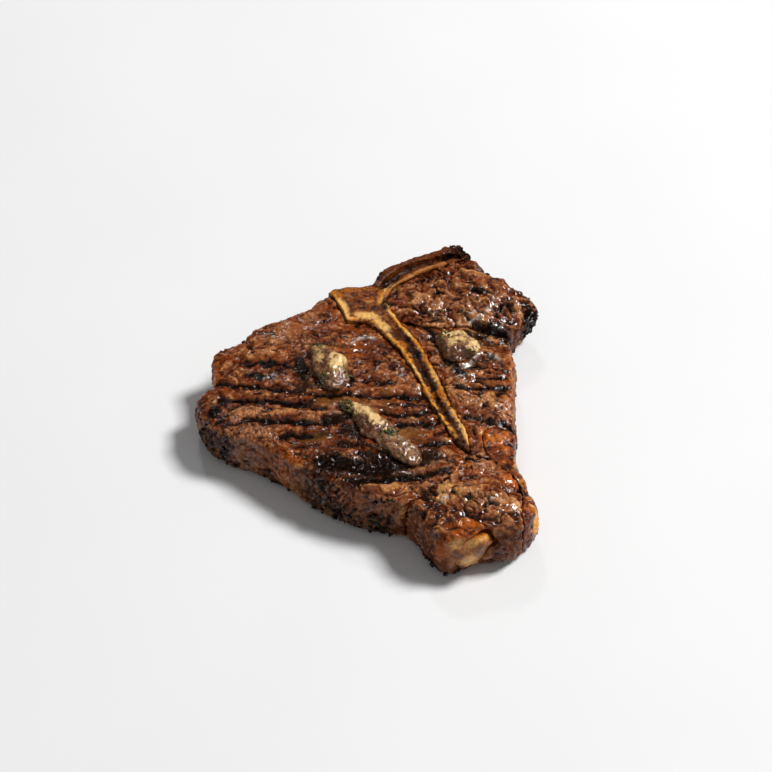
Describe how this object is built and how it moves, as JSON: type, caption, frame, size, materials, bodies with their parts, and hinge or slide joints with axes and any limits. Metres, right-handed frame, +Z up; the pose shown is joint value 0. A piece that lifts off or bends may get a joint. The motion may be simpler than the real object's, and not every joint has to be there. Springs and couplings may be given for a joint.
{
  "type": "grilled t-bone steak",
  "caption": "Grilled T-bone beef steak lying flat, with its T-shaped bone, curled tail and rim of fat, charred grill marks and melting pats of herb butter on its upper face.",
  "frame": {"origin": "middle of the footprint's bounding box, on the flat face that the steak rests on", "axes": "+Z up through the steak's thickness; +Y from the tail to the bone's crossbar, along the steak; +X from the strip loin to the tenderloin"},
  "size_m": [0.1693, 0.2027, 0.0358],
  "materials": {
    "meat": "grilled brown crust with char lines, wet with juice and melted butter",
    "bone": "sawn bone, golden to cream at its edges and charred brown between them",
    "fat": "browned beef fat, orange to cream and greasy",
    "butter": "soft herb butter, pale and melting, with green flecks and browned film"
  },
  "bodies": {
    "root": {"strip_loin": "meat", "tenderloin": "meat", "upper_lobe": "meat", "tail": "meat", "t_bone": "bone", "fat_rim": "fat", "fat_knob": "fat", "butter_left": "butter", "butter_front": "butter", "butter_back": "butter"}
  },
  "joints": []
}
